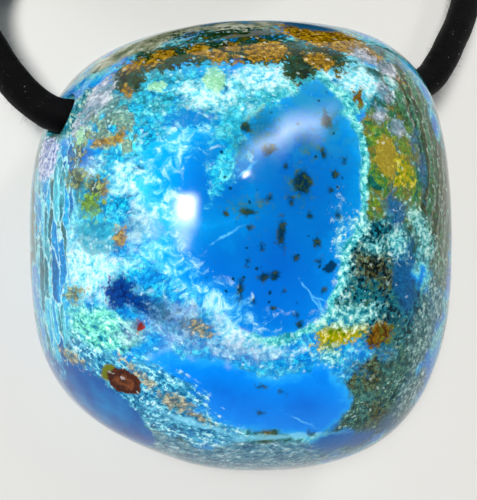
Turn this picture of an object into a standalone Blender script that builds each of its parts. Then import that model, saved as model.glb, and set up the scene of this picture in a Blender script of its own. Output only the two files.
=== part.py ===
"""A drilled, tumbled chrysocolla pebble on its round leather cord.

The pebble lies on the small flat ground on its back, with the polished front facing +Z and the
bore near its +Y end. The cord runs through the bore, comes down to the surface on both sides and
is put away in a round coil beyond the +Y end, where its two ends are knotted together.
Metres, +Z up; the origin is the middle of the pebble's footprint, on the surface it rests on.
"""

import math

import bmesh
import bpy
from mathutils import Matrix, Vector

OBJECT_NAME = "chrysocolla_pebble_on_cord"
SHARP_ANGLE = math.radians(40)

# Pebble. Its widest outline is a rounded rectangle, and at four shoulders the stone stands out
# from that or was worn back. A shoulder is its direction from +X towards +Y and how far it
# stands out.
HALF_WIDTH = 0.0130
HALF_LENGTH = 0.0139
OUTLINE_SQUARENESS = 2.6
SHOULDERS = (
    (math.radians(50), 0.0010),
    (math.radians(115), -0.0005),
    (math.radians(240), -0.0008),
    (math.radians(305), 0.0003),
)
SHOULDER_WIDTH = math.radians(20)
FRONT_CROWN = 0.0103  # from the widest outline up to the top of the front
BACK_CROWN = 0.0090  # from the widest outline down to where the back would close
OUTLINE_STEPS = 720  # round the outline, to find its middle
OUTLINE_HEIGHT = 0.0083  # of the widest outline above the resting flat
FRONT_SQUARENESS = 2.35  # 2 is an ellipse, and more is squarer
BACK_SQUARENESS = 2.5
OUTLINE_LEAN = 0.0007  # the widest outline rises by this much on one side
LEAN_DIRECTION = math.radians(250)
OUTLINE_TWIST = 0.00035  # and by this much at both ends of a diagonal
TWIST_DIRECTION = math.radians(40)
PEBBLE_SEGMENTS = 64
PEBBLE_RINGS = 32

# Bore, drilled from both sides to meet in the middle
BORE_MIDDLE = Vector((-0.0001, 0.0069, 0.0096))
LEFT_MOUTH = Vector((-0.0119, 0.0074, 0.0105))
RIGHT_MOUTH = Vector((0.0114, 0.0101, 0.0088))
BORE_RADIUS = 0.0013
MOUTH_FLARE = 0.0003  # how much wider the eased rim of a mouth is
FLARE_DEPTH = 0.0006
BORE_SEGMENTS = 24
BORE_OVERLAP = 0.0003  # past the middle, where the two drillings meet
BORE_RUN_OUT = 0.003  # past each mouth

# Cord
CORD_RADIUS = 0.0010
CORD_SPACING = 0.0019  # between the points of the tube
CORD_ROUNDING = 2  # extra points round each quarter of the tube
ROUTE_STEPS = 16  # between two points of a route
LEFT_ROUTE = (
    BORE_MIDDLE,
    (-0.0060, 0.00712, 0.01007),
    (-0.0108, 0.00734, 0.0104),
    (-0.0121, 0.0075, 0.0104),
    (-0.0129, 0.0080, 0.0101),
    (-0.0138, 0.0089, 0.0095),
    (-0.0146, 0.0101, 0.0087),
    (-0.0153, 0.0115, 0.0078),
    (-0.0159, 0.0130, 0.0069),
    (-0.0160, 0.0147, 0.0059),
    (-0.0153, 0.0165, 0.0047),
    (-0.0139, 0.0179, 0.0034),
    (-0.0121, 0.0187, 0.0022),
    (-0.0100, 0.0190, 0.0014),
    (-0.0079, 0.0190, 0.00105),
)
RIGHT_ROUTE = (
    BORE_MIDDLE,
    (0.0057, 0.0085, 0.0092),
    (0.0103, 0.00975, 0.00885),
    (0.0118, 0.0102, 0.0087),
    (0.0130, 0.0109, 0.0083),
    (0.0141, 0.0121, 0.0077),
    (0.0152, 0.0135, 0.0069),
    (0.0163, 0.0150, 0.0060),
    (0.0173, 0.0166, 0.0050),
    (0.0181, 0.0184, 0.0039),
    (0.0185, 0.0204, 0.0027),
    (0.0183, 0.0226, 0.0017),
    (0.0176, 0.0249, 0.0012),
    (0.0166, 0.0272, 0.0012),
    (0.0155, 0.0294, 0.0016),
    (0.0146, 0.0309, 0.0021),
)

# Coil: two turns wide and three high, wound round this middle
COIL_MIDDLE = Vector((0.0, 0.0306, 0.0))
COIL_INNER_RADIUS = 0.009
COIL_OUTER_RADIUS = 0.013
COIL_HEIGHT = 0.006
COIL_STEPS = 40
CORNER_STEPS = 2
MERGE_DISTANCE = 0.00001

# Knot: both ends of the cord in one overhand knot, inside the coil
KNOT_MIDDLE = COIL_MIDDLE + Vector((-0.0026, -0.0042, 0.0026))
KNOT_RADII = Vector((0.0037, 0.0031, 0.0026))
TAIL_REACH = 0.0078  # from the knot's middle to the cut ends
TAIL_DIRECTIONS = (math.radians(6), math.radians(34))
TAIL_HEIGHT = 0.00105
KNOT_SEGMENTS = 24
KNOT_RINGS = 14
TAIL_SEGMENTS = 12

# Tie: a narrow thong round the coil's far side
TIE_WIDTH = 0.0014
TIE_THICKNESS = 0.0005
TIE_INSET = 0.0003  # how far the tie's outside lies within the coil's walls
TIE_TOP = 0.0064
CLEARANCE = 0.0003  # between pieces that touch


def new_collection(name):
    collection = bpy.data.collections.new(name)
    bpy.context.scene.collection.children.link(collection)
    return collection


def material(name, colour, roughness):
    made = bpy.data.materials.new(name)
    made.use_nodes = True
    shader = made.node_tree.nodes["Principled BSDF"]
    shader.inputs["Base Color"].default_value = (*colour, 1.0)
    shader.inputs["Roughness"].default_value = roughness
    shader.inputs["Metallic"].default_value = 0.0
    return made


def mesh_object(name, bm, collection, finish=None):
    """The bmesh as a named object, shaded smooth but for its sharp edges."""
    mesh = bpy.data.meshes.new(name)
    bm.to_mesh(mesh)
    bm.free()
    mesh.shade_smooth()
    mesh.set_sharp_from_angle(angle=SHARP_ANGLE)
    if finish:
        mesh.materials.append(finish)
    made = bpy.data.objects.new(name, mesh)
    collection.objects.link(made)
    return made


def cutter_object(name, bm):
    made = mesh_object(name, bm, cutters)
    made.hide_render = True
    made.display_type = "WIRE"
    return made


def boolean(target, cutter, operation="DIFFERENCE"):
    modifier = target.modifiers.new(cutter.name, "BOOLEAN")
    modifier.operation = operation
    modifier.solver = "EXACT"
    modifier.object = cutter


def along(start, end):
    """A matrix that puts a +Z shape centred on the origin half-way from start to end."""
    turn = (end - start).to_track_quat("Z", "Y").to_matrix().to_4x4()
    return Matrix.Translation((start + end) / 2) @ turn


def outline_radius(angle):
    """How far the widest outline is from the pebble's middle, in this direction."""
    sideways = abs(math.cos(angle)) / HALF_WIDTH
    endways = abs(math.sin(angle)) / HALF_LENGTH
    spread = sideways**OUTLINE_SQUARENESS + endways**OUTLINE_SQUARENESS
    radius = spread ** (-1 / OUTLINE_SQUARENESS)
    for direction, stand_out in SHOULDERS:
        away = math.remainder(angle - direction, math.tau)
        radius += stand_out * math.exp(-((away / SHOULDER_WIDTH) ** 2))
    return radius


def outline_middle():
    """The middle of the box round the widest outline."""
    points = [
        outline_radius(angle) * Vector((math.cos(angle), math.sin(angle)))
        for angle in (math.tau * step / OUTLINE_STEPS for step in range(OUTLINE_STEPS))
    ]
    xs = [point.x for point in points]
    ys = [point.y for point in points]
    return Vector((min(xs) + max(xs), min(ys) + max(ys))) / 2


def pebble_point(angle, lift):
    """Where the skin lies, at this turn about +Z and this lift above the widest outline."""
    lean = OUTLINE_LEAN * math.cos(angle - LEAN_DIRECTION)
    twist = OUTLINE_TWIST * math.cos(2 * angle - TWIST_DIRECTION)
    level = lean + twist
    if lift > 0:
        power, crown = FRONT_SQUARENESS, FRONT_CROWN - level
    else:
        power, crown = BACK_SQUARENESS, BACK_CROWN + level
    across, up = math.cos(lift), math.sin(lift)
    size = (abs(across) ** power + abs(up) ** power) ** (-1 / power)
    reach = outline_radius(angle) * across * size
    height = OUTLINE_HEIGHT + level + crown * up * size
    return Vector((reach * math.cos(angle), reach * math.sin(angle), height))


def bore_cutters(mouth, side):
    """One drilling from the middle out through its mouth, and the cone that eases its rim."""
    out = (mouth - BORE_MIDDLE).normalized()
    start = BORE_MIDDLE - BORE_OVERLAP * out
    end = mouth + BORE_RUN_OUT * out
    drill = bmesh.new()
    bmesh.ops.create_cone(
        drill, cap_ends=True, segments=BORE_SEGMENTS, radius1=BORE_RADIUS,
        radius2=BORE_RADIUS, depth=(end - start).length, matrix=along(start, end),
    )
    rim_start = mouth - FLARE_DEPTH * out
    rim_end = mouth + FLARE_DEPTH * out
    rim = bmesh.new()
    bmesh.ops.create_cone(
        rim, cap_ends=True, segments=BORE_SEGMENTS, radius1=BORE_RADIUS - MOUTH_FLARE / 3,
        radius2=BORE_RADIUS + 2 * MOUTH_FLARE, depth=(rim_end - rim_start).length,
        matrix=along(rim_start, rim_end),
    )
    return cutter_object(f"{side}_drilling", drill), cutter_object(f"{side}_rim_cone", rim)


def pebble():
    bm = bmesh.new()
    bmesh.ops.create_uvsphere(
        bm, u_segments=PEBBLE_SEGMENTS, v_segments=PEBBLE_RINGS, radius=1.0
    )
    middle = outline_middle().to_3d()
    for vert in bm.verts:
        angle = math.atan2(vert.co.y, vert.co.x)
        lift = math.asin(max(-1.0, min(1.0, vert.co.z)))
        vert.co = pebble_point(angle, lift) - middle
    cut = bmesh.ops.bisect_plane(
        bm, geom=bm.verts[:] + bm.edges[:] + bm.faces[:], plane_co=(0, 0, 0),
        plane_no=(0, 0, -1), clear_outer=True,
    )
    rim = [part for part in cut["geom_cut"] if isinstance(part, bmesh.types.BMEdge)]
    bmesh.ops.contextual_create(bm, geom=rim)
    bmesh.ops.recalc_face_normals(bm, faces=bm.faces)
    finish = material("polished_chrysocolla", (0.03, 0.36, 0.62), 0.08)
    made = mesh_object("chrysocolla_pebble", bm, parts, finish)
    for mouth, side in ((LEFT_MOUTH, "left"), (RIGHT_MOUTH, "right")):
        for cutter in bore_cutters(mouth, side):
            boolean(made, cutter)


def smooth_path(points, spacing):
    """Points about this far apart on the centripetal Catmull-Rom curve through the given ones."""
    points = [Vector(point) for point in points]
    points = [2 * points[0] - points[1], *points, 2 * points[-1] - points[-2]]
    fine = []
    for a, b, c, d in zip(points, points[1:], points[2:], points[3:]):
        t1 = (b - a).length ** 0.5
        t2 = t1 + (c - b).length ** 0.5
        t3 = t2 + (d - c).length ** 0.5
        for step in range(ROUTE_STEPS):
            t = t1 + (t2 - t1) * step / ROUTE_STEPS
            ab = a.lerp(b, t / t1)
            bc = b.lerp(c, (t - t1) / (t2 - t1))
            cd = c.lerp(d, (t - t2) / (t3 - t2))
            abc = ab.lerp(bc, t / t2)
            bcd = bc.lerp(cd, (t - t1) / (t3 - t1))
            fine.append(abc.lerp(bcd, (t - t1) / (t2 - t1)))
    fine.append(points[-2])
    lengths = [0.0]
    for a, b in zip(fine, fine[1:]):
        lengths.append(lengths[-1] + (b - a).length)
    count = round(lengths[-1] / spacing)
    path, index = [], 0
    for step in range(count + 1):
        wanted = lengths[-1] * step / count
        while index < len(fine) - 2 and lengths[index + 1] < wanted:
            index += 1
        share = (wanted - lengths[index]) / (lengths[index + 1] - lengths[index])
        path.append(fine[index].lerp(fine[index + 1], share))
    return path


def leather_cord(finish):
    """The stretch that isn't coiled: down from the left, through the bore and down on the right."""
    path = smooth_path((*reversed(LEFT_ROUTE), *RIGHT_ROUTE[1:]), CORD_SPACING)
    curve = bpy.data.curves.new("leather_cord", "CURVE")
    curve.dimensions = "3D"
    curve.bevel_depth = CORD_RADIUS
    curve.bevel_resolution = CORD_ROUNDING
    curve.use_fill_caps = True
    spline = curve.splines.new("POLY")
    spline.points.add(len(path) - 1)
    for point, place in zip(spline.points, path):
        point.co = (*place, 1.0)
    curve.materials.append(finish)
    parts.objects.link(bpy.data.objects.new("leather_cord", curve))


def coil_profile():
    """The section of the wound bundle, with corners as round as one strand, from its outer top."""
    inner = COIL_INNER_RADIUS + CORD_RADIUS
    outer = COIL_OUTER_RADIUS - CORD_RADIUS
    low = CORD_RADIUS
    high = COIL_HEIGHT - CORD_RADIUS
    corners = ((outer, high, 90), (outer, low, 0), (inner, low, -90), (inner, high, -180))
    profile = []
    for radius, height, start in corners:
        for step in range(CORNER_STEPS + 1):
            turn = math.radians(start - 90 * step / CORNER_STEPS)
            reach = radius + CORD_RADIUS * math.cos(turn)
            profile.append((reach, 0.0, height + CORD_RADIUS * math.sin(turn)))
    return profile


def box(low, high):
    bm = bmesh.new()
    sides = Vector(high) - Vector(low)
    middle = (Vector(high) + Vector(low)) / 2
    bmesh.ops.create_cube(
        bm, size=1.0, matrix=Matrix.Translation(middle) @ Matrix.Diagonal((*sides, 1.0))
    )
    return bm


def tie_block(inset, half_width):
    """A block across the coil's far side, its section this far inside the tie's outer faces."""
    near = COIL_MIDDLE.y + COIL_INNER_RADIUS + TIE_INSET + inset
    far = COIL_MIDDLE.y + COIL_OUTER_RADIUS - TIE_INSET - inset
    return box((-half_width, near, inset), (half_width, far, TIE_TOP - inset))


def cord_coil(finish):
    """The put-away length, with a waist where the tie draws the turns together."""
    bm = bmesh.new()
    verts = [bm.verts.new(place) for place in coil_profile()]
    for index, vert in enumerate(verts):
        bm.edges.new((vert, verts[(index + 1) % len(verts)]))
    made = mesh_object("cord_coil", bm, parts, finish)
    made.location = COIL_MIDDLE
    screw = made.modifiers.new("turned", "SCREW")
    screw.axis = "Z"
    screw.steps = screw.render_steps = COIL_STEPS
    screw.use_merge_vertices = True
    screw.merge_threshold = MERGE_DISTANCE
    screw.use_smooth_shade = True
    half_gap = TIE_WIDTH / 2 + CLEARANCE
    near = (-half_gap, COIL_MIDDLE.y + COIL_INNER_RADIUS / 2, -COIL_HEIGHT)
    far = (half_gap, COIL_MIDDLE.y + 2 * COIL_OUTER_RADIUS, 2 * COIL_HEIGHT)
    waist = cutter_object("waist_block", box(near, far))
    core = tie_block(TIE_THICKNESS + CLEARANCE, 2 * half_gap)
    boolean(waist, cutter_object("waist_core", core))
    boolean(made, waist)


def cord_tie(finish):
    made = mesh_object("cord_tie", tie_block(0.0, TIE_WIDTH / 2), parts, finish)
    boolean(made, cutter_object("tie_inside", tie_block(TIE_THICKNESS, TIE_WIDTH)))


def cord_knot(finish):
    """The overhand knot's bulk, with the two trimmed ends lying beside each other."""
    bm = bmesh.new()
    bmesh.ops.create_uvsphere(
        bm, u_segments=KNOT_SEGMENTS, v_segments=KNOT_RINGS, radius=1.0,
        matrix=Matrix.Translation(KNOT_MIDDLE) @ Matrix.Diagonal((*KNOT_RADII, 1.0)),
    )
    made = mesh_object("cord_knot", bm, parts, finish)
    for index, direction in enumerate(TAIL_DIRECTIONS):
        out = Vector((math.cos(direction), math.sin(direction), 0.0))
        start = Vector((KNOT_MIDDLE.x, KNOT_MIDDLE.y, TAIL_HEIGHT)) + CORD_RADIUS * out
        end = start + (TAIL_REACH - CORD_RADIUS) * out
        tail = bmesh.new()
        bmesh.ops.create_cone(
            tail, cap_ends=True, segments=TAIL_SEGMENTS, radius1=CORD_RADIUS,
            radius2=CORD_RADIUS, depth=(end - start).length, matrix=along(start, end),
        )
        boolean(made, cutter_object(f"tail_{index + 1}", tail), "UNION")


for old in list(bpy.data.objects):
    bpy.data.objects.remove(old, do_unlink=True)
parts = new_collection(OBJECT_NAME)
cutters = new_collection("cutters")
black_leather = material("black_leather", (0.012, 0.011, 0.011), 0.6)
pebble()
leather_cord(black_leather)
cord_coil(black_leather)
cord_knot(black_leather)
cord_tie(black_leather)
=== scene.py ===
"""A drilled, tumbled chrysocolla pebble on its black leather cord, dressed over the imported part.

The pebble lies on its back on a pale floor, polished front up. The cord comes out at both mouths
of the bore, and its two long ends are wound away in a coil behind the pebble and knotted there.
Metres, +Z up, in the part's own frame.
"""

import math
import random

import bmesh
import bpy
from mathutils import Matrix, Vector, noise
from mathutils.bvhtree import BVHTree


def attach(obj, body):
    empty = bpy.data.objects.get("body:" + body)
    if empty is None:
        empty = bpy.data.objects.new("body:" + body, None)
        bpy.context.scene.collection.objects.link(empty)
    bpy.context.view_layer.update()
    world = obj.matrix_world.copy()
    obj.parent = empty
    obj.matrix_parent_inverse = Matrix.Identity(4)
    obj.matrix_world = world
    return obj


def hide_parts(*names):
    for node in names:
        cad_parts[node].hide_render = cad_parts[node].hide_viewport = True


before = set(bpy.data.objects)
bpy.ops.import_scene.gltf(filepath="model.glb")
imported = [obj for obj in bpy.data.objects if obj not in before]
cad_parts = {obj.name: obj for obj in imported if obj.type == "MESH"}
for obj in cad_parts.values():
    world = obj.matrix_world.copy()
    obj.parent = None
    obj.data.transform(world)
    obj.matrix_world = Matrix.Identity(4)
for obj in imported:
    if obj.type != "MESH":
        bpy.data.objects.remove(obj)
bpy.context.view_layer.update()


# ---------------------------------------------------------------- camera
# The pebble is looked down on from close by, and a little from its left, so that the left mouth
# of the bore shows and the right one hides behind the shoulder. What lies on the pebble's face is
# placed further down by how far right of and above this middle the camera sees it.
FACE_MIDDLE = Vector((-0.00008, -0.00006, 0.0083))
VIEW_LEAN = math.radians(18)
VIEW_DISTANCE = 0.080
AIM_RIGHT = -0.00009
AIM_UP = -0.00031
LENS = 92.74
PICTURE_HEIGHT = 36.0
NEAREST_SEEN = 0.005

toward_eye = Vector((-math.sin(VIEW_LEAN), 0.0, math.cos(VIEW_LEAN)))
face_right = Vector((math.cos(VIEW_LEAN), 0.0, math.sin(VIEW_LEAN)))
face_up = Vector((0.0, 1.0, 0.0))
face_turn = Matrix((face_right, face_up, toward_eye)).transposed()
eye = FACE_MIDDLE + VIEW_DISTANCE * toward_eye + AIM_RIGHT * face_right + AIM_UP * face_up

lens = bpy.data.cameras.new("camera")
lens.lens = LENS
lens.sensor_fit = "VERTICAL"
lens.sensor_height = PICTURE_HEIGHT
lens.clip_start = NEAREST_SEEN
camera = bpy.data.objects.new("camera", lens)
camera.matrix_world = Matrix.Translation(eye) @ face_turn.to_4x4()
bpy.context.scene.collection.objects.link(camera)
bpy.context.scene.camera = camera


# ---------------------------------------------------------------- leather cord, two legs
# One 458 mm length of 2 mm round leather cord, cut from hide, dyed black through and rolled, with
# a dull, slightly furry skin. It is threaded through the bore, and here it is two legs that meet in
# the bore's middle. Each runs down to the floor and is wound into the coil behind the pebble.
CORD_RADIUS = 0.0010
BORE_MIDDLE = Vector((-0.0001, 0.0069, 0.0096))
LEFT_MOUTH = Vector((-0.0119, 0.0074, 0.0105))
RIGHT_MOUTH = Vector((0.0114, 0.0101, 0.0088))
LEFT_ROUTE = (
    BORE_MIDDLE,
    (-0.0060, 0.00712, 0.01007),
    (-0.0108, 0.00734, 0.0104),
    (-0.0121, 0.0075, 0.0104),
    (-0.0129, 0.0080, 0.0101),
    (-0.0138, 0.0089, 0.0095),
    (-0.0146, 0.0101, 0.0087),
    (-0.0153, 0.0115, 0.0078),
    (-0.0159, 0.0130, 0.0069),
    (-0.0160, 0.0147, 0.0059),
    (-0.0153, 0.0165, 0.0047),
    (-0.0139, 0.0179, 0.0034),
    (-0.0121, 0.0187, 0.0022),
    (-0.0100, 0.0190, 0.0014),
    (-0.0079, 0.0190, 0.00109),
    (-0.0045, 0.01875, 0.00107),
)
RIGHT_ROUTE = (
    BORE_MIDDLE,
    (0.0057, 0.0085, 0.0092),
    (0.0103, 0.00975, 0.00885),
    (0.0118, 0.0102, 0.0087),
    (0.0130, 0.0109, 0.0083),
    (0.0141, 0.0121, 0.0077),
    (0.0152, 0.0135, 0.0069),
    (0.0163, 0.0150, 0.0060),
    (0.0173, 0.0166, 0.0050),
    (0.0181, 0.0184, 0.0039),
    (0.0185, 0.0204, 0.0027),
    (0.0183, 0.0226, 0.0017),
    (0.0176, 0.0249, 0.0012),
    (0.0166, 0.0272, 0.0012),
    (0.0155, 0.0294, 0.0016),
)
# The coil is two strands wide and three high. Each slot is the turn in degrees where a strand
# settles into it and where it leaves it, and the strand's radius and height there.
COIL_MIDDLE = Vector((0.0, 0.0306, 0.0))
LEFT_SLOTS = ((-90, 205, 0.012, 0.00107), (245, 520, 0.010, 0.00107), (560, 868, 0.010, 0.003))
RIGHT_SLOTS = (
    (5, 6, 0.0143, 0.0022),
    (30, 315, 0.012, 0.003),
    (350, 630, 0.012, 0.005),
    (665, 888, 0.010, 0.005),
)
LEFT_INTO_KNOT = (
    (-0.0088, 0.0332, 0.0032),
    (-0.0080, 0.0308, 0.0031),
    (-0.0073, 0.0287, 0.0027),
    (-0.0064, 0.0271, 0.0021),
    (-0.0050, 0.0264, 0.0018),
)
RIGHT_INTO_KNOT = (
    (-0.0094, 0.0292, 0.0047),
    (-0.0082, 0.0273, 0.0042),
    (-0.0067, 0.0265, 0.0038),
    (-0.0050, 0.0262, 0.0035),
)
TURN_STEP = 9  # degrees between the points of a turn
RING_SPACING = 0.00025  # between the rings of a strand's mesh
ROUTE_STEPS = 16
STRAND_SIDES = 20
SKIN_UNEVENNESS = 0.035  # of the radius
SKIN_COARSE = 700  # lumps to the metre
SKIN_FINE = 2600
SKIN_FINE_SHARE = 0.6
TIE_REACH = 0.0024  # how far along the coil the tie's grip is felt
TIED_RADIUS = 0.0110
TIED_INWARD = 0.15  # share of the way that a squeezed strand moves to that radius
TIED_HEIGHT = 0.0031
MIDDLE_LAYER = 0.003
TIED_LAYERS = 0.875  # how close the layers are pressed
TIED_THINNER = 0.13  # share that a squeezed strand loses of its radius


def smooth_path(points, spacing):
    """Points about this far apart on the centripetal Catmull-Rom curve through the given ones."""
    points = [Vector(point) for point in points]
    points = [2 * points[0] - points[1], *points, 2 * points[-1] - points[-2]]
    fine = []
    for a, b, c, d in zip(points, points[1:], points[2:], points[3:]):
        t1 = (b - a).length ** 0.5
        t2 = t1 + (c - b).length ** 0.5
        t3 = t2 + (d - c).length ** 0.5
        for step in range(ROUTE_STEPS):
            t = t1 + (t2 - t1) * step / ROUTE_STEPS
            ab = a.lerp(b, t / t1)
            bc = b.lerp(c, (t - t1) / (t2 - t1))
            cd = c.lerp(d, (t - t2) / (t3 - t2))
            abc = ab.lerp(bc, t / t2)
            bcd = bc.lerp(cd, (t - t1) / (t3 - t1))
            fine.append(abc.lerp(bcd, (t - t1) / (t2 - t1)))
    fine.append(points[-2])
    lengths = [0.0]
    for a, b in zip(fine, fine[1:]):
        lengths.append(lengths[-1] + (b - a).length)
    count = round(lengths[-1] / spacing)
    path, index = [], 0
    for step in range(count + 1):
        wanted = lengths[-1] * step / count
        while index < len(fine) - 2 and lengths[index + 1] < wanted:
            index += 1
        share = (wanted - lengths[index]) / (lengths[index + 1] - lengths[index])
        path.append(fine[index].lerp(fine[index + 1], share))
    return path


def tie_grip(place):
    """How hard the tie squeezes the turns here, from 0 to 1."""
    if place.y < COIL_MIDDLE.y:
        return 0.0
    return math.exp(-((place.x / TIE_REACH) ** 2))


def wound(slots):
    """The points of the turns, easing from one slot into the next and drawn in at the tie."""
    points = []
    degrees = slots[0][0]
    while degrees <= slots[-1][1]:
        for before, after in zip(slots, slots[1:]):
            if degrees <= after[0]:
                share = min(1.0, max(0.0, (degrees - before[1]) / (after[0] - before[1])))
                ease = share * share * (3 - 2 * share)
                radius = before[2] + (after[2] - before[2]) * ease
                height = before[3] + (after[3] - before[3]) * ease
                break
        else:
            radius, height = slots[-1][2:]
        turn = math.radians(degrees)
        grip = tie_grip(COIL_MIDDLE + radius * Vector((math.cos(turn), math.sin(turn), 0.0)))
        radius += (TIED_RADIUS - radius) * TIED_INWARD * grip
        height += (TIED_HEIGHT + (height - MIDDLE_LAYER) * TIED_LAYERS - height) * grip
        points.append(
            COIL_MIDDLE + Vector((radius * math.cos(turn), radius * math.sin(turn), height))
        )
        degrees += TURN_STEP
    return points


def side_ways(path, side=None):
    """For each point of a path, the way along it and a side way that never twists round it."""
    ways = []
    for index, place in enumerate(path):
        ahead = path[min(index + 1, len(path) - 1)] - path[max(index - 1, 0)]
        ahead.normalize()
        if side is None:
            side = ahead.orthogonal()
        side = (side - side.dot(ahead) * ahead).normalized()
        ways.append((ahead, side))
    return ways


def skin_rings(bm, rings):
    """Closes a row of rings into a skin, and returns the faces between them, ring by ring."""
    rows = []
    for ring, following in zip(rings, rings[1:]):
        row = []
        for step in range(len(ring)):
            after = (step + 1) % len(ring)
            row.append(
                bm.faces.new((ring[step], ring[after], following[after], following[step]))
            )
        rows.append(row)
    bm.faces.new(list(reversed(rings[0])))
    bm.faces.new(rings[-1])
    return rows


def piece_from(bm, name):
    """Makes an object of the mesh that was built."""
    mesh = bpy.data.meshes.new(name)
    bm.to_mesh(mesh)
    bm.free()
    made = bpy.data.objects.new(name, mesh)
    bpy.context.scene.collection.objects.link(made)
    return made


def strand(name, path, radius=CORD_RADIUS):
    """A round strand along the path. Its UVs are millimetres along it and its share of a turn."""
    bm = bmesh.new()
    along = bm.loops.layers.uv.new("along")
    rings = []
    for place, (ahead, side) in zip(path, side_ways(path)):
        other = ahead.cross(side)
        here = radius * (1 - TIED_THINNER * tie_grip(place))
        ring = []
        for step in range(STRAND_SIDES):
            turn = math.tau * step / STRAND_SIDES
            way = side * math.cos(turn) + other * math.sin(turn)
            coarse = noise.noise((place + way * here) * SKIN_COARSE)
            fine = noise.noise((place + way * here) * SKIN_FINE)
            swell = SKIN_UNEVENNESS * (coarse + SKIN_FINE_SHARE * fine)
            ring.append(bm.verts.new(place + way * here * (1 + swell)))
        rings.append(ring)
    travelled = 0.0
    for index, row in enumerate(skin_rings(bm, rings)):
        onward = travelled + 1000 * (path[index + 1] - path[index]).length
        for step, face in enumerate(row):
            corners = (
                (travelled, step), (travelled, step + 1), (onward, step + 1), (onward, step)
            )
            for loop, (way, turn) in zip(face.loops, corners):
                loop[along].uv = (way, turn / STRAND_SIDES)
        travelled = onward
    for face in bm.faces:
        face.smooth = True
    return piece_from(bm, name)


left_path = smooth_path((*LEFT_ROUTE, *wound(LEFT_SLOTS), *LEFT_INTO_KNOT), RING_SPACING)
right_path = smooth_path((*RIGHT_ROUTE, *wound(RIGHT_SLOTS), *RIGHT_INTO_KNOT), RING_SPACING)
left_leg = strand("left_leg", left_path)
right_leg = strand("right_leg", right_path)


def tint(red, green, blue):
    """A colour named by its 0-255 screen values, as the linear one that shaders take."""
    return tuple(
        (part / 255 + 0.055) ** 2.4 / 1.055**2.4 if part > 10 else part / 255 / 12.92
        for part in (red, green, blue)
    )


def join(tree, value, socket):
    """Links one socket to another, or writes a plain value into it."""
    if isinstance(value, bpy.types.NodeSocket):
        tree.links.new(value, socket)
    elif getattr(socket, "type", "") == "RGBA" and len(value) == 3:
        socket.default_value = (*value, 1.0)
    else:
        socket.default_value = value


def put(tree, kind, inputs, **settings):
    """Adds a shader node with these settings, and feeds its inputs."""
    made = tree.nodes.new("ShaderNode" + kind)
    for name, value in settings.items():
        setattr(made, name, value)
    for name, value in inputs.items():
        join(tree, value, made.inputs[name])
    return made


def new_finish(name, **values):
    """A material, its node tree and its Principled shader, with these plain values set."""
    made = bpy.data.materials.new(name)
    made.use_nodes = True
    shader = made.node_tree.nodes["Principled BSDF"]
    for socket, value in values.items():
        join(made.node_tree, value, shader.inputs[socket.replace("_", " ")])
    return made, made.node_tree, shader


def millimetres(tree):
    """The place on the piece, in millimetres."""
    place = put(tree, "TexCoord", {}).outputs["Object"]
    return put(tree, "Mapping", {"Vector": place, "Scale": (1000, 1000, 1000)}).outputs["Vector"]


def grain(tree, place, size, detail=3.0, roughness=0.5, distortion=0.0, output="Fac"):
    """Cloudy noise whose blots are about this many millimetres across."""
    return put(
        tree, "TexNoise",
        {"Vector": place, "Scale": 1 / size, "Detail": detail, "Roughness": roughness,
         "Distortion": distortion},
    ).outputs[output]


def step_between(tree, value, low, high, from_value=0.0, to_value=1.0):
    """Eases from one value to the other as the input goes from low to high."""
    return put(
        tree, "MapRange",
        {"Value": value, "From Min": low, "From Max": high, "To Min": from_value,
         "To Max": to_value},
        interpolation_type="SMOOTHSTEP", clamp=False,
    ).outputs["Result"]


def lay_over(tree, mask, under, over, blending="MIX"):
    """One colour over another, where the mask says."""
    made = tree.nodes.new("ShaderNodeMix")
    made.data_type = "RGBA"
    made.clamp_factor = False
    made.blend_type = blending
    join(tree, mask, made.inputs[0])
    join(tree, under, made.inputs[6])
    join(tree, over, made.inputs[7])
    return made.outputs[2]


def calculate(tree, operation, *values):
    """One sum on plain values."""
    return put(tree, "Math", dict(enumerate(values)), operation=operation).outputs["Value"]


# Black-dyed hide: flat black with faintly greyer nap where the skin is rubbed, fine creases across
# the cord from bending, and a dull soft sheen.
LEATHER_BLACK = tint(3, 3, 4)
LEATHER_RUBBED = tint(13, 13, 15)
LEATHER_SCUFF = tint(40, 41, 45)
NAP_SIZE = 0.16
RUBBED_PATCH = 0.9
SCUFF_SIZE = 0.22
CREASES = (3.2, 5.0, 1.0)  # to the millimetre along, and to the turn round
CREASE_DEPTH = 0.00006
leather, tree, shader = new_finish("dyed_leather", Roughness=0.62, IOR=1.22)
place = millimetres(tree)
nap = grain(tree, place, NAP_SIZE, 4.0, 0.65)
rub = grain(tree, place, RUBBED_PATCH, 3.0, 0.6)
rubbed = calculate(
    tree, "MULTIPLY", step_between(tree, rub, 0.48, 0.7), step_between(tree, nap, 0.42, 0.66)
)
scuffed = step_between(tree, grain(tree, place, SCUFF_SIZE, 2.0, 0.5), 0.69, 0.77)
colour = lay_over(tree, rubbed, LEATHER_BLACK, LEATHER_RUBBED)
colour = lay_over(tree, scuffed, colour, LEATHER_SCUFF)
join(tree, colour, shader.inputs["Base Color"])
way = put(tree, "TexCoord", {}).outputs["UV"]
creases = put(tree, "Mapping", {"Vector": way, "Scale": CREASES})
creased = grain(tree, creases.outputs["Vector"], 1.0, 4.0, 0.6, 0.6)
height = calculate(tree, "ADD", calculate(tree, "MULTIPLY", nap, 0.7), creased)
bump = put(tree, "Bump", {"Height": height, "Distance": CREASE_DEPTH, "Strength": 0.9})
join(tree, bump.outputs["Normal"], shader.inputs["Normal"])

for leg in (left_leg, right_leg):
    leg.data.materials.append(leather)
    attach(leg, "root")
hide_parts("leather_cord", "cord_coil")
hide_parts("leather_cord", "cord_coil")


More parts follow.
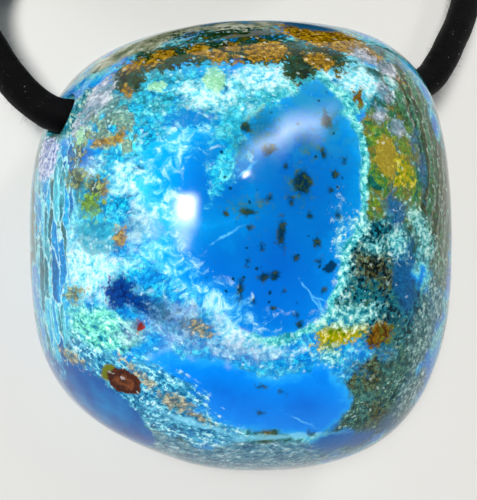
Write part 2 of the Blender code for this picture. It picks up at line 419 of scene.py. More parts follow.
# ---------------------------------------------------------------- knot
# Both ends of the same cord, tied side by side in one overhand knot and pulled tight, with the
# two cut ends left a little long and splayed on the floor.
KNOT_MIDDLE = COIL_MIDDLE + Vector((-0.0026, -0.0042, 0.0026))
KNOT_LONG = 0.00110
KNOT_WIDE = 0.00072
KNOT_HIGH = 0.00045
KNOT_TURN = 1.95  # how far each way the knot's own curve is followed
KNOT_STEPS = 28
PAIR_OFFSET = 0.00078
KNOT_STRAND_RADIUS = 0.00093
TAIL_REACH = 0.0078
TAIL_MIDDLE = 0.6  # share of that reach by which a tail lies straight
TAIL_HEIGHT = 0.00110
TAILS = (
    (left_path[-1], -1, math.radians(6)),
    (right_path[-1], 1, math.radians(34)),
)


def overhand(turn):
    """The middle line of a long trefoil, which is an overhand knot."""
    return KNOT_MIDDLE + Vector((
        KNOT_LONG * (turn**5 / 5 - 2 * turn),
        KNOT_WIDE * (turn**3 - 3 * turn),
        KNOT_HIGH * (turn**4 - 4 * turn**2 + 2),
    ))


core = [overhand(KNOT_TURN * (2 * step / KNOT_STEPS - 1)) for step in range(KNOT_STEPS + 1)]
knot_strands = []
for number, (start, offset_sign, direction) in enumerate(TAILS):
    line = [start]
    for middle, (_, side) in zip(core, side_ways(core, Vector((0.0, 0.0, 1.0)))):
        line.append(middle + offset_sign * PAIR_OFFSET * side)
    out = Vector((math.cos(direction), math.sin(direction), 0.0))
    floor_middle = Vector((KNOT_MIDDLE.x, KNOT_MIDDLE.y, TAIL_HEIGHT))
    line += [floor_middle + TAIL_MIDDLE * TAIL_REACH * out, floor_middle + TAIL_REACH * out]
    knot_strands.append(
        strand(f"knot_strand_{number}", smooth_path(line, RING_SPACING), KNOT_STRAND_RADIUS)
    )
knot = knot_strands[0]
knot.name = "overhand_knot"
knot.data.materials.append(leather)
bm = bmesh.new()
for piece in knot_strands:
    bm.from_mesh(piece.data)
bm.to_mesh(knot.data)
bm.free()
bpy.data.objects.remove(knot_strands[1])
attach(knot, "root")
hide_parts("cord_knot")


# ---------------------------------------------------------------- tie
# A narrow thong of the same leather, passed once round the six strands at the coil's far side,
# pulled in until they bulge beside it, and tucked over its own beginning.
TIE_WIDTH = 0.0014
TIE_THICKNESS = 0.00042
TIE_NEAR = COIL_MIDDLE.y + 0.00905
TIE_FAR = COIL_MIDDLE.y + 0.01295
TIE_LOW = 0.00040
TIE_HIGH = 0.0059
TIE_CORNER = 0.0009
TIE_LAP = 0.00046  # the second layer over the first
TIE_EDGE = 0.00010  # how far the thong's edges are rounded off
TIE_UNEVENNESS = 0.05  # of the width
TIE_LUMPS = 900  # to the metre
TIE_CREASE = math.radians(50)  # where a turn of the skin counts as an edge
TIE_ROUTE = (
    (TIE_FAR - 0.0024, TIE_HIGH),
    (TIE_NEAR + TIE_CORNER, TIE_HIGH - 0.00005),
    (TIE_NEAR, TIE_HIGH - TIE_CORNER),
    (TIE_NEAR - 0.0001, 0.5 * (TIE_HIGH + TIE_LOW)),
    (TIE_NEAR, TIE_LOW + TIE_CORNER),
    (TIE_NEAR + TIE_CORNER, TIE_LOW),
    (TIE_FAR - TIE_CORNER, TIE_LOW),
    (TIE_FAR, TIE_LOW + TIE_CORNER),
    (TIE_FAR + 0.0001, 0.5 * (TIE_HIGH + TIE_LOW)),
    (TIE_FAR, TIE_HIGH - 0.5 * TIE_CORNER),
    (TIE_FAR - 0.7 * TIE_CORNER, TIE_HIGH + 0.7 * TIE_LAP),
    (TIE_FAR - 0.0020, TIE_HIGH + TIE_LAP),
    (TIE_NEAR + 0.0011, TIE_HIGH + 1.2 * TIE_LAP),
)
tie_path = smooth_path([(0.0, y, z) for y, z in TIE_ROUTE], RING_SPACING)
bm = bmesh.new()
section = []
for across, above in ((1, 1), (-1, 1), (-1, -1), (1, -1)):
    corner = Vector((across * (TIE_WIDTH / 2), above * TIE_THICKNESS / 2))
    ease_in, ease_up = Vector((across * TIE_EDGE, 0)), Vector((0, above * TIE_EDGE))
    section += [corner - ease_up, corner - ease_in] if across == above else [
        corner - ease_in, corner - ease_up
    ]
rings = []
for place, (ahead, _) in zip(tie_path, side_ways(tie_path)):
    aside = Vector((1.0, 0.0, 0.0))
    outward = ahead.cross(aside)
    swell = 1 + TIE_UNEVENNESS * noise.noise(place * TIE_LUMPS)
    rings.append([
        bm.verts.new(place + aside * across * swell + outward * above)
        for across, above in section
    ])
skin_rings(bm, rings)
bmesh.ops.recalc_face_normals(bm, faces=bm.faces)
tie = piece_from(bm, "thong_tie")
tie.data.shade_smooth()
tie.data.set_sharp_from_angle(angle=TIE_CREASE)
tie.data.materials.append(leather)
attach(tie, "root")
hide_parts("cord_tie")


# ---------------------------------------------------------------- nap and lint on the cord
# Loose fibres of the hide stand off the cord here and there, a fraction of a millimetre long, and
# specks of pale dust cling to it, most of all where it goes into the stone.
FIBRE_SEED = 7
FIBRES_NEAR = 300  # on the stretch from the bore to the coil, each leg
FIBRES_COILED = 330  # on the turns, each leg
MOUTH_RUN = 0.0125  # from the bore's middle to its mouth
FREE_RUN = 0.042  # from the bore's middle to where the turns begin
FIBRE_LENGTH = (0.00012, 0.00085)
FIBRE_SHORTENED = (0.35, 1.0)  # share of its length that is left
FIBRE_LEAN = 1.6  # along the cord, against 1 straight out
FIBRE_SLANT = 0.8  # round the cord
FIBRE_CURL = 0.5
FIBRE_ROOT = 0.00003  # how deep it is rooted
FIBRE_RADIUS = 0.000011
FIBRE_TAPER = 0.8
FIBRE_PARTS = 4
FIBRE_SIDES = 3
FIBRE_FLOOR = 0.0009
SPECK_RADIUS = (0.000012, 0.000034)
SPECKS_NEAR = 60
SPECKS_COILED = 30
SPECK_START = 0.1  # share of the stretch that stays clear of specks
LINT_MOTTLE = 0.3
LINT_DARKEST = 0.4
draw = random.Random(FIBRE_SEED)


def on_the_skin(path, first, last):
    """A place on the strand's skin at random, clear of the floor, and the ways along and out."""
    while True:
        index = draw.randrange(int(first), int(last))
        ahead = (path[index + 1] - path[index - 1]).normalized()
        side = ahead.orthogonal().normalized()
        out = Matrix.Rotation(draw.uniform(0, math.tau), 3, ahead) @ side
        place = path[index] + out * CORD_RADIUS * (1 - TIED_THINNER * tie_grip(path[index]))
        if place.z > FIBRE_FLOOR:
            return place, ahead, out


def fibre(bm, root, ahead, out):
    """One curved hair of three sides, thinner to its tip."""
    length = draw.uniform(*FIBRE_LENGTH) * draw.uniform(*FIBRE_SHORTENED)
    lean = ahead * draw.uniform(-FIBRE_LEAN, FIBRE_LEAN)
    way = out + lean + out.cross(ahead) * draw.uniform(-FIBRE_SLANT, FIBRE_SLANT)
    way.normalize()
    curl = Vector([draw.uniform(-1, 1) for _ in range(3)]) * FIBRE_CURL
    rings = []
    place = root - out * FIBRE_ROOT
    for part in range(FIBRE_PARTS + 1):
        side = way.orthogonal().normalized()
        thick = FIBRE_RADIUS * (1 - FIBRE_TAPER * part / FIBRE_PARTS)
        rings.append([
            bm.verts.new(
                place + thick * (Matrix.Rotation(math.tau * turn / FIBRE_SIDES, 3, way) @ side)
            )
            for turn in range(FIBRE_SIDES)
        ])
        place = place + way * (length / FIBRE_PARTS)
        way = (way + curl / FIBRE_PARTS).normalized()
    skin_rings(bm, rings)


fibres = bmesh.new()
specks = bmesh.new()
for path in (left_path, right_path):
    mouth = int(MOUTH_RUN / RING_SPACING)
    coiled = int(FREE_RUN / RING_SPACING)
    end = len(path) - 2
    for first, last, count, speck_count in (
        (mouth, coiled, FIBRES_NEAR, SPECKS_NEAR),
        (coiled, end, FIBRES_COILED, SPECKS_COILED),
    ):
        for _ in range(count):
            fibre(fibres, *on_the_skin(path, first, last))
        for _ in range(speck_count):
            reach = (last - first) * draw.uniform(SPECK_START, 1)
            root, _, _ = on_the_skin(path, first, first + reach)
            shape = Matrix.Diagonal([draw.uniform(*SPECK_RADIUS) for _ in range(3)]).to_4x4()
            bmesh.ops.create_icosphere(
                specks, subdivisions=1, radius=1.0, matrix=Matrix.Translation(root) @ shape
            )
for bm, name, base, roughness in (
    (fibres, "cord_nap", tint(52, 50, 50), 0.7),
    (specks, "cord_lint", tint(214, 214, 210), 0.8),
):
    bmesh.ops.recalc_face_normals(bm, faces=bm.faces)
    made = piece_from(bm, name)
    made.data.shade_smooth()
    made_finish, tree, shader = new_finish(name + "_finish", Roughness=roughness)
    shade = grain(tree, millimetres(tree), LINT_MOTTLE, 2.0)
    darker = tuple(LINT_DARKEST * part for part in base)
    join(
        tree, lay_over(tree, step_between(tree, shade, 0.35, 0.65), darker, base),
        shader.inputs["Base Color"],
    )
    made.data.materials.append(made_finish)
    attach(made, "root")


# ---------------------------------------------------------------- pebble
# One piece of copper-bearing rock, sawn, ground and tumbled to a soft square and polished all over:
# glassy blue chrysocolla gel in pale turquoise crusts, within a grit of green, brown and ochre
# copper and iron minerals. It was drilled from both sides for the cord.
HALF_WIDTH = 0.0130
HALF_LENGTH = 0.0139
OUTLINE_SQUARENESS = 2.6
SHOULDERS = (  # direction from +X towards +Y, and how far the stone stands out there
    (math.radians(50), 0.0010),
    (math.radians(115), -0.0005),
    (math.radians(240), -0.0008),
    (math.radians(305), 0.0003),
)
SHOULDER_WIDTH = math.radians(20)
OUTLINE_STEPS = 720
FRONT_CROWN = 0.0103
BACK_CROWN = 0.0090
OUTLINE_HEIGHT = 0.0083
FRONT_SQUARENESS = 2.35
BACK_SQUARENESS = 2.5
OUTLINE_LEAN = 0.0007
LEAN_DIRECTION = math.radians(250)
OUTLINE_TWIST = 0.00035
TWIST_DIRECTION = math.radians(40)
PEBBLE_SEGMENTS = 320
PEBBLE_RINGS = 160
TUMBLE_SWELL = 0.00005  # how far tumbling left the skin uneven
SWELL_COARSE = 210  # swells to the metre
SWELL_FINE = 620
SWELL_FINE_SHARE = 0.35
MOUTH_EDGE = math.radians(35)  # where a turn of the skin counts as an edge
BORE_RADIUS = 0.0013
MOUTH_FLARE = 0.0003
FLARE_DEPTH = 0.0006
BORE_SEGMENTS = 64
BORE_OVERLAP = 0.0003
BORE_RUN_OUT = 0.003


def outline_radius(angle):
    """How far the widest outline is from the pebble's middle, in this direction."""
    sideways = abs(math.cos(angle)) / HALF_WIDTH
    endways = abs(math.sin(angle)) / HALF_LENGTH
    spread = sideways**OUTLINE_SQUARENESS + endways**OUTLINE_SQUARENESS
    radius = spread ** (-1 / OUTLINE_SQUARENESS)
    for direction, stand_out in SHOULDERS:
        away = math.remainder(angle - direction, math.tau)
        radius += stand_out * math.exp(-((away / SHOULDER_WIDTH) ** 2))
    return radius


outline = [
    outline_radius(turn) * Vector((math.cos(turn), math.sin(turn)))
    for turn in (math.tau * step / OUTLINE_STEPS for step in range(OUTLINE_STEPS))
]
outline_middle = Vector((
    (min(point.x for point in outline) + max(point.x for point in outline)) / 2,
    (min(point.y for point in outline) + max(point.y for point in outline)) / 2,
    0.0,
))


def pebble_point(angle, lift):
    """Where the skin lies, at this turn about +Z and this lift above the widest outline."""
    lean = OUTLINE_LEAN * math.cos(angle - LEAN_DIRECTION)
    level = lean + OUTLINE_TWIST * math.cos(2 * angle - TWIST_DIRECTION)
    if lift > 0:
        power, crown = FRONT_SQUARENESS, FRONT_CROWN - level
    else:
        power, crown = BACK_SQUARENESS, BACK_CROWN + level
    across, up = math.cos(lift), math.sin(lift)
    size = (abs(across) ** power + abs(up) ** power) ** (-1 / power)
    reach = outline_radius(angle) * across * size
    height = OUTLINE_HEIGHT + level + crown * up * size
    return Vector((reach * math.cos(angle), reach * math.sin(angle), height)) - outline_middle


def along(start, end):
    """A matrix that puts a +Z shape centred on the origin half-way from start to end."""
    turn = (end - start).to_track_quat("Z", "Y").to_matrix().to_4x4()
    return Matrix.Translation((start + end) / 2) @ turn


def drill(target, start, end, start_radius, end_radius):
    """Cuts one round or tapering drilling from the target."""
    bm = bmesh.new()
    bmesh.ops.create_cone(
        bm, cap_ends=True, segments=BORE_SEGMENTS, radius1=start_radius, radius2=end_radius,
        depth=(end - start).length, matrix=along(start, end),
    )
    cutter = piece_from(bm, "drilling")
    cut = target.modifiers.new("drilling", "BOOLEAN")
    cut.operation = "DIFFERENCE"
    cut.solver = "MANIFOLD"
    cut.object = cutter
    bpy.context.view_layer.update()
    done = bpy.data.meshes.new_from_object(
        target.evaluated_get(bpy.context.evaluated_depsgraph_get())
    )
    target.modifiers.clear()
    target.data = done
    bpy.data.objects.remove(cutter)


bm = bmesh.new()
bmesh.ops.create_uvsphere(bm, u_segments=PEBBLE_SEGMENTS, v_segments=PEBBLE_RINGS, radius=1.0)
for vert in bm.verts:
    place = pebble_point(
        math.atan2(vert.co.y, vert.co.x), math.asin(max(-1.0, min(1.0, vert.co.z)))
    )
    fine = noise.noise(place * SWELL_FINE)
    swell = noise.noise(place * SWELL_COARSE) + SWELL_FINE_SHARE * fine
    vert.co = place + vert.co.normalized() * TUMBLE_SWELL * swell
cut = bmesh.ops.bisect_plane(
    bm, geom=bm.verts[:] + bm.edges[:] + bm.faces[:], plane_co=(0, 0, 0),
    plane_no=(0, 0, -1), clear_outer=True,
)
rim = [part for part in cut["geom_cut"] if isinstance(part, bmesh.types.BMEdge)]
bmesh.ops.contextual_create(bm, geom=rim)
bmesh.ops.recalc_face_normals(bm, faces=bm.faces)
undrilled = BVHTree.FromBMesh(bm)
pebble = piece_from(bm, "polished_pebble")
for mouth in (LEFT_MOUTH, RIGHT_MOUTH):
    out = (mouth - BORE_MIDDLE).normalized()
    drill(
        pebble, BORE_MIDDLE - BORE_OVERLAP * out, mouth + BORE_RUN_OUT * out,
        BORE_RADIUS, BORE_RADIUS,
    )
    drill(
        pebble, mouth - FLARE_DEPTH * out, mouth + FLARE_DEPTH * out,
        BORE_RADIUS - MOUTH_FLARE / 3, BORE_RADIUS + 2 * MOUTH_FLARE,
    )
pebble.data.shade_smooth()
pebble.data.set_sharp_from_angle(angle=MOUTH_EDGE)
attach(pebble, "root")
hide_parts("chrysocolla_pebble")


def on_face(across, up):
    """The skin's place and outward way, this many millimetres right of and above the middle."""
    aim = FACE_MIDDLE + (across * face_right + up * face_up) / 1000
    way = (aim - eye).normalized()
    place, out, _, _ = undrilled.ray_cast(eye, way)
    if place is None:
        place, out, _, _ = undrilled.find_nearest(aim)
    return place, out


# The pebble's finish. Every zone is a few rounded pockets lying in the skin, placed one by one on
# the finished picture: across and down to the pocket's middle, its half width and half height, all
# in picture pixels, and the degrees that it is turned. Deeper inside a pocket counts as more, so
# that gel can run from a pale crust to deep blue.
FACE_PIXEL = (240, 245)  # where the middle of the face lies in the picture
PIXELS_PER_MM = 16.1
POCKET_REACH = 4  # pocket half-widths from its middle to where its depth is no longer followed
POCKET_INWARD = 1.6  # how far it goes into the stone, in half-widths
POCKET_DEEPEST = 9.0
LEAST_FACING = 0.25  # how edge-on the skin may lie before a pocket stops growing inward
GEL_WINDOW = (
    (300, 180, 60, 78, 0), (276, 263, 58, 66, 0), (205, 180, 60, 46, 0), (216, 263, 62, 34, -32),
    (330, 165, 32, 55, 0), (300, 114, 42, 20, 12), (317, 100, 16, 22, 30), (314, 297, 15, 24, 0),
    (324, 226, 20, 42, 0),
)
GEL_BELOW = (
    (232, 396, 78, 30, -18), (305, 405, 44, 33, 0), (185, 374, 34, 13, -28),
    (322, 380, 16, 16, 0), (335, 440, 22, 10, 15),
)
GEL_CORNER = ((92, 404, 70, 28, -40),)
FOAM_TONGUE = ((232, 125, 12, 36, -12), (221, 166, 9, 21, -15), (256, 97, 26, 8, 10))
LOBE_CLOUDS = (
    (172, 150, 20, 12, 30), (157, 197, 12, 22, 10), (194, 126, 18, 8, 0),
    (150, 246, 20, 14, -20), (177, 266, 16, 9, -30), (214, 300, 29, 8, -25),
)
CRACKS = (
    (311, 295, 0.8, 12, 34), (322, 309, 0.8, 7, 20), (318, 298, 0.7, 5, 70),
    (246, 168, 1.0, 8, -50), (226, 235, 0.7, 10, -60), (303, 422, 0.7, 10, 62),
)
WINDOW_OLIVE = (
    (262, 128, 12, 14, 0), (240, 144, 8, 10, 0), (330, 121, 8, 8, 0), (300, 185, 9, 13, 0),
    (248, 205, 10, 4, 0), (311, 145, 6, 11, 30),
)
GEL_SPECK = ((190, 118, 22, 8, 0),)
FOAM = (
    (211, 129, 116, 58, -6), (330, 86, 48, 19, -8), (143, 226, 58, 97, 0), (92, 271, 48, 39, -10),
    (182, 303, 116, 45, -26), (264, 345, 97, 31, -6), (320, 367, 27, 16, 0),
    (111, 325, 55, 26, -20),
)
CLOUD = (
    (85, 268, 35, 27, -20), (130, 180, 18, 14, 0), (108, 292, 14, 13, 0), (155, 219, 19, 31, 15),
    (351, 81, 27, 11, -5), (269, 81, 39, 19, 5), (240, 97, 24, 18, 0), (236, 337, 32, 9, -14),
    (200, 92, 20, 12, 0),
)
TOP_DARK = (
    (127, 78, 18, 16, 30), (164, 58, 34, 12, 14), (216, 50, 40, 14, 2), (262, 50, 35, 18, 0),
    (240, 34, 55, 8, 2), (301, 65, 16, 19, -25), (325, 58, 22, 13, -20),
)
TOP_OCHRE = (
    (266, 52, 20, 12, 8), (322, 36, 42, 13, -12), (359, 49, 24, 9, -32), (320, 61, 14, 9, -25),
    (343, 45, 20, 9, -20), (385, 65, 22, 5, -45),
)
OCHRE_CRUMBS = (
    (164, 53, 10, 5, 15), (150, 62, 8, 4, 20), (200, 49, 10, 6, 0), (217, 57, 9, 8, 0),
    (134, 66, 12, 5, 30), (232, 47, 8, 5, 0), (127, 92, 5, 7, 20), (238, 60, 5, 5, 0),
    (105, 189, 3.5, 10, 0), (119, 139, 7, 5, 30), (102, 142, 8, 4, 0), (121, 239, 5, 10, 0),
)
TOP_GLAZE = ((150, 42, 70, 10, 26), (235, 26, 61, 7, 3))
TEAL_RIM = ((312, 26, 26, 6, -8),)
# The pocket at (388, 70) is a painted highlight on the top right shoulder, not quartz
QUARTZ_AND_PAINTED_HIGHLIGHT = (
    (365, 57, 15, 8, -28), (380, 113, 9, 7, -30), (397, 127, 8, 9, -30), (98, 98, 12, 22, -35),
    (80, 128, 6, 14, -20), (388, 70, 11, 8, -35), (384, 92, 10, 6, -40),
)
QUARTZ_BLOCK = ((107, 106, 11, 17, -35), (123, 124, 10, 19, 12), (106, 135, 13, 11, -20))
RIGHT_GREEN = (
    (374, 139, 15, 39, -5), (372, 195, 15, 35, 0), (361, 205, 10, 12, 0), (398, 165, 26, 58, 10),
)
OCHRE_BLOCK = ((387, 155, 10, 19, 8),)
YELLOW_GREEN = (
    (404, 172, 7, 15, 30), (398, 181, 7, 6, 0), (337, 335, 19, 11, 5), (351, 330, 14, 8, 10),
    (330, 346, 13, 6, 5),
)
RUST_CRUMBS = ((380, 332, 12, 11, 25), (372, 340, 6, 6, 0), (358, 97, 5, 6, 0))
RIGHT_BANDS = ((412, 119, 24, 68, 18), (433, 197, 24, 74, 8), (440, 255, 14, 42, 0))
RIGHT_BLUE = ((396, 208, 10, 18, 15), (406, 275, 10, 37, 5), (419, 160, 3.5, 21, 10))
TEAL_GRIT = (
    (374, 268, 37, 47, 0), (398, 330, 35, 55, 0), (359, 300, 22, 21, 0), (372, 401, 37, 47, 0),
    (382, 350, 27, 27, 0), (356, 432, 32, 22, 20),
)
BROWN_GRIT = (
    (366, 362, 19, 9, 10), (372, 377, 10, 11, 0), (353, 380, 6, 6, 0), (378, 412, 7, 10, 0),
    (371, 262, 19, 15, 0), (387, 279, 7, 9, 0),
)
RIM_PALE = ((427, 325, 13, 55, -12), (411, 390, 11, 29, -24))
RIM_BLUE = ((407, 396, 11, 26, -22), (391, 425, 13, 13, -30))
GEL_RIM = ((335, 441, 24, 10, 14), (362, 437, 13, 8, 30))
RIGHT_FOAM = (
    (422, 232, 8, 24, 25), (360, 226, 9, 9, 0), (350, 316, 26, 10, 10), (332, 356, 11, 8, 0),
    (343, 262, 5, 28, 5), (374, 247, 10, 6, 0), (398, 243, 8, 12, 20),
)
LEFT_PANELS = ((50, 250, 19, 111, 3), (63, 185, 14, 52, -8))
FROSTED = ((47, 158, 12, 21, 0),)
TEAL_STRIPES = ((77, 113, 9, 27, -30), (90, 123, 6, 14, -20))
LEFT_OLIVE = (
    (79, 152, 7, 14, -10), (76, 178, 10, 10, 0), (96, 186, 9, 9, 0), (92, 200, 9, 6, 0),
    (73, 294, 8, 7, 0),
)
LEFT_GREEN = ((93, 206, 10, 11, 0),)
CREAM = ((81, 136, 4, 8, -5), (213, 79, 10, 12, 0), (156, 87, 8, 6, 0))
TEAL_BLOCK = ((98, 237, 22, 15, -10),)
NAVY = ((120, 294, 13, 14, 0), (137, 301, 14, 7, -30))
SLATE = ((148, 306, 18, 9, -35), (166, 314, 11, 6, -30), (192, 324, 14, 8, -25))
LILAC_MOTTLE = (
    (177, 321, 43, 19, -25), (234, 348, 32, 10, -15), (135, 229, 14, 16, 0), (90, 165, 10, 8, 0),
    (134, 333, 16, 10, -20),
)
GREEN_STRIPED = ((105, 330, 35, 19, -15),)
SPECKLED = (
    (140, 400, 77, 17, -38), (190, 424, 52, 15, -24), (98, 361, 45, 12, -28),
    (166, 388, 39, 14, -32),
)
TAN = (
    (140, 376, 19, 3.5, -42), (176, 404, 16, 7, -28), (198, 418, 14, 2.5, -28),
    (73, 357, 15, 4.5, -28), (201, 328, 11, 6, -28),
)
BOTTOM_GLAZE = ((238, 461, 111, 20, 2), (164, 445, 52, 12, -22))
RUST_OVAL = ((124, 382, 17, 10.5, -30),)
OLIVE_RIM = ((107, 372, 6, 8, -20),)
RED_GRAIN = ((138, 327, 4, 5, 20),)
CYAN_LINE = ((279, 437, 48, 2.5, 2), (198, 425, 32, 2.5, -20))
DOTS = (
    (327, 119, 5, 7, 0), (271, 150, 6, 4, 0), (303, 182, 8, 11, 0), (335, 176, 4, 5, 0),
    (250, 210, 6, 3.5, 0), (282, 235, 4, 13, 0), (248, 127, 5, 5, 0), (330, 193, 2.5, 3, 0),
    (345, 161, 2, 2.5, 0), (316, 242, 3, 5, 0), (240, 290, 3.5, 9, -4), (264, 276, 6, 4, 20),
    (275, 275, 5, 5, -30), (283, 293, 2, 2, 0), (324, 290, 2.5, 2.5, 0), (301, 325, 3.5, 3, 0),
    (296, 316, 2.5, 2, 20), (226, 214, 2, 2, 0), (250, 227, 2, 2, 0), (262, 387, 3, 1.5, 0),
    (262, 414, 2.5, 1.5, -20), (312, 433, 3.5, 2, -20), (282, 393, 2.5, 1.5, 0),
    (290, 200, 2.5, 4, 0), (268, 196, 3, 2, 20), (309, 214, 2.5, 3, 0), (262, 246, 2.5, 3, 0),
    (296, 258, 3, 2.5, 0), (246, 262, 2, 4, 0), (318, 262, 2.5, 2, 0), (254, 302, 2, 3, 0),
    (274, 309, 2, 2, 0), (338, 214, 2, 3, 0), (322, 153, 2.5, 4, 10), (287, 166, 2.5, 2, 0),
)
TEAL_WEDGE = ((329, 269, 6, 5, 30),)

skin, tree, shader = new_finish("polished_chrysocolla", Roughness=0.06, IOR=1.46)


def inclusion_group():
    """How deep a place lies inside one rounded pocket, in millimetres; below 0 is outside."""
    group = bpy.data.node_groups.new("inclusion", "ShaderNodeTree")
    for name, kind in (
        ("Place", "Vector"), ("Middle", "Vector"), ("Turn", "Vector"), ("Reach", "Vector"),
        ("Thickness", "Float"),
    ):
        group.interface.new_socket(name, in_out="INPUT", socket_type=f"NodeSocket{kind}")
    group.interface.new_socket("Depth", in_out="OUTPUT", socket_type="NodeSocketFloat")
    given = group.nodes.new("NodeGroupInput").outputs
    result = group.nodes.new("NodeGroupOutput")
    within = put(
        group, "Mapping",
        {"Vector": given["Place"], "Location": given["Middle"], "Rotation": given["Turn"],
         "Scale": given["Reach"]},
        vector_type="TEXTURE",
    )
    near = put(
        group, "TexGradient", {"Vector": within.outputs["Vector"]}, gradient_type="SPHERICAL"
    )
    share = calculate(
        group, "MULTIPLY_ADD", near.outputs["Fac"], POCKET_REACH, 1 - POCKET_REACH
    )
    join(group, calculate(group, "MULTIPLY", share, given["Thickness"]), result.inputs["Depth"])
    return group


inclusion = inclusion_group()


def face_place(across, down):
    """Picture pixels as millimetres right of and above the middle of the face."""
    return (across - FACE_PIXEL[0]) / PIXELS_PER_MM, (FACE_PIXEL[1] - down) / PIXELS_PER_MM


def pocket(across, down, half_wide, half_high, turn):
    """One pocket lying in the skin, at this place in the picture."""
    middle, out = on_face(*face_place(across, down))
    half_wide, half_high = half_wide / PIXELS_PER_MM, half_high / PIXELS_PER_MM
    facing = max(LEAST_FACING, out.dot(toward_eye))
    inward = min(POCKET_DEEPEST, POCKET_INWARD * max(half_wide, half_high) / facing)
    turned = face_turn @ Matrix.Rotation(math.radians(turn), 3, "Z")
    node = tree.nodes.new("ShaderNodeGroup")
    node.node_tree = inclusion
    values = {
        "Place": place, "Middle": 1000 * middle, "Turn": turned.to_euler(),
        "Reach": POCKET_REACH * Vector((half_wide, half_high, inward)),
        "Thickness": min(half_wide, half_high),
    }
    for name, value in values.items():
        join(tree, value, node.inputs[name])
    return node.outputs["Depth"]


def pockets(zone):
    """The deepest that a place lies inside any of a zone's pockets."""
    depth = None
    for spot in zone:
        found = pocket(*spot)
        depth = found if depth is None else calculate(tree, "MAXIMUM", depth, found)
    return depth


def roughened(depth, noise_value, amount):
    """The depth, made uneven by noise of this many millimetres."""
    rough = calculate(tree, "MULTIPLY_ADD", noise_value, 2 * amount, -amount)
    return calculate(tree, "ADD", depth, rough)


def ramp(value, *stops):
    """Colours along a value from 0 to 1."""
    made = put(tree, "ValToRGB", {"Fac": value})
    elements = made.color_ramp.elements
    while len(elements) < len(stops):
        elements.new(0.5)
    for element, (position, colour) in zip(elements, stops):
        element.position = position
        element.color = (*tint(*colour), 1.0)
    return made.outputs["Color"]


def inlay(zone, over, noise_value, amount, soft=0.06, strength=1.0):
    """The colour so far with this one inlaid in a zone whose border noise makes uneven."""
    depth = roughened(pockets(zone), noise_value, amount)
    mask = step_between(tree, depth, -soft, soft, 0.0, strength)
    return lay_over(tree, mask, colour, over)


def moved_by(place, size, amount, detail):
    """The place pushed about by noise, so that what is read there has wavering edges."""
    push = grain(tree, place, size, detail, 0.55, output="Color")
    moved = put(
        tree, "VectorMath", {0: push, 1: [2 * amount] * 3, 2: place}, operation="MULTIPLY_ADD"
    ).outputs["Vector"]
    return put(
        tree, "VectorMath", {0: moved, 1: [-amount] * 3}, operation="ADD"
    ).outputs["Vector"]


def drawn_out(across_size, up_size, turn):
    """The place, drawn out along one way of the face for streaky zones."""
    turned = face_turn @ Matrix.Rotation(math.radians(turn), 3, "Z")
    return put(
        tree, "Mapping",
        {"Vector": place, "Rotation": turned.to_euler(), "Scale": (across_size, up_size, 1.0)},
        vector_type="TEXTURE",
    ).outputs["Vector"]


def blend(first, first_share, second, second_share):
    """Two values in these shares."""
    return calculate(tree, "MULTIPLY_ADD", second, second_share, times(first, first_share))


def times(first, second):
    """One value times another."""
    return calculate(tree, "MULTIPLY", first, second)


def crystals(place, size):
    """Cells of this many millimetres: how far their middle is, and two numbers drawn for each."""
    cells = put(tree, "TexVoronoi", {"Vector": place, "Scale": 1 / size}).outputs
    numbers = put(tree, "SeparateColor", {"Color": cells["Color"]}).outputs
    return cells["Distance"], numbers[0], numbers[1]


def joints(place, size):
    """How far it is to the nearest border between such cells."""
    return put(
        tree, "TexVoronoi", {"Vector": place, "Scale": 1 / size}, feature="DISTANCE_TO_EDGE"
    ).outputs["Distance"]


# What most zones share: the place with a waver in it, noise and cells of several sizes, and how
# far right of and above the face's middle a place lies. Sizes are in millimetres.
WAVERS = ((2.6, 0.35, 2.0), (0.5, 0.14, 3.0))  # size, how far, detail
COARSE_SIZE = 1.1
FINE_SIZE = 0.30
GRIT_SIZE = 0.10
CLOUD_SIZE = 1.7
WISP_SIZE = 0.75
CELL_SIZE = 0.17
LUMP_SIZE = 0.55
MARBLING_SIZE = 3.4
STREAK_SIZE = 0.42
GLAZE_SIZE = 0.36
SEAM_SIZE = 0.62
PANEL_DRAWN_OUT = (0.42, 2.9, 4)
STREAKS_DRAWN_OUT = (2.2, 0.6, -34)
GLAZE_DRAWN_OUT = (2.4, 0.8, 0)
place = millimetres(tree)
for waver in WAVERS:
    place = moved_by(place, *waver)
coarse = grain(tree, place, COARSE_SIZE, 5.0, 0.62)
fine = grain(tree, place, FINE_SIZE, 4.0, 0.65)
grit_noise = grain(tree, place, GRIT_SIZE, 2.0, 0.6)
cloudy = grain(tree, place, CLOUD_SIZE, 4.0, 0.6)
wisps = grain(tree, place, WISP_SIZE, 5.0, 0.66, 0.6)
_, cell_number, _ = crystals(place, CELL_SIZE)
_, lump_number, _ = crystals(place, LUMP_SIZE)
across, up = (
    put(tree, "VectorMath", {0: place, 1: way}, operation="DOT_PRODUCT").outputs["Value"]
    for way in (face_right, face_up)
)

# Grains that lie lighter and darker through every zone but the gel, and a few painted glints
granules = ramp(
    blend(cell_number, 0.22, blend(fine, 0.55, grit_noise, 0.45), 0.78),
    (0.30, (36, 42, 48)), (0.48, (124, 126, 128)), (0.60, (200, 206, 208)), (0.70, (252, 254, 254)),
)
# Pale flecks painted in as glints of light off tiny fractures
painted_glints = step_between(tree, cell_number, 0.965, 0.99, 0.0, 0.30)


def grains_and_glints(colour, strength=0.6):
    """The colour with those grains in it, and the painted glints."""
    colour = lay_over(tree, strength, colour, granules, "OVERLAY")
    # The pale flecks are painted glints
    return lay_over(tree, painted_glints, colour, tint(226, 246, 248))


